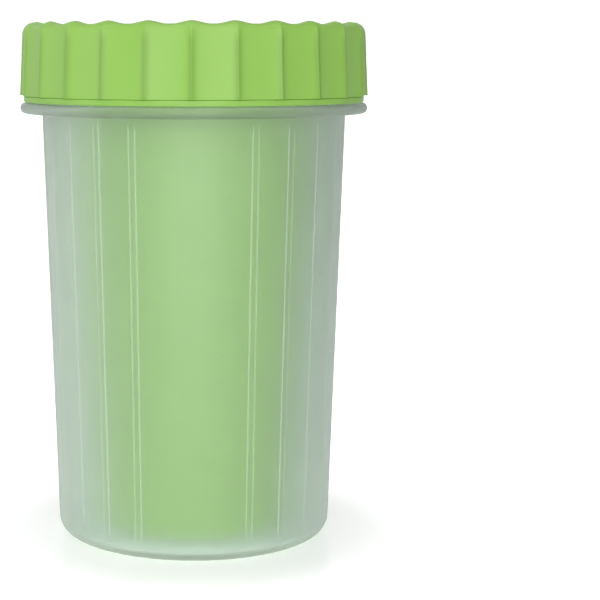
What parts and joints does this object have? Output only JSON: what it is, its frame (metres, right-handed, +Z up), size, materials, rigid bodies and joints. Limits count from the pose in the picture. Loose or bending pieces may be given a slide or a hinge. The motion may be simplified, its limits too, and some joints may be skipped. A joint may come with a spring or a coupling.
{
  "type": "paw washer cup",
  "caption": "Frosted cup with a fluted screw ring and a soft brush insert, open down the middle, for rinsing an animal's paw in water.",
  "frame": {"origin": "centre of the underside, on the surface that the cup stands on", "axes": "+Z up the cup's axis, out of its mouth; X and Y are alike"},
  "size_m": [0.1021, 0.1021, 0.152],
  "materials": {
    "frosted_cup": "translucent polypropylene with a fine frosted surface",
    "green_ring": "satin moulded polypropylene, light green all through",
    "green_silicone": "matte silicone rubber, light green all through"
  },
  "bodies": {
    "cup": {"cup": "frosted_cup"},
    "insert": {"insert_sleeve": "green_silicone", "insert_bristles": "green_silicone"},
    "ring": {"screw_ring": "green_ring"}
  },
  "joints": [
    {"name": "insert_lift", "type": "slide", "parent": "cup", "child": "insert", "axis": [0, 0, 1], "range_m": [0, 0.0063]},
    {"name": "ring_turn", "type": "hinge", "parent": "insert", "child": "ring", "pos_m": [0, 0, 0.14], "axis": [0, 0, 1], "range_deg": [0, 450]}
  ],
  "couplings": [
    {"joint": "insert_lift", "follows": "ring_turn", "m_per_rad": 0.00079577}
  ]
}
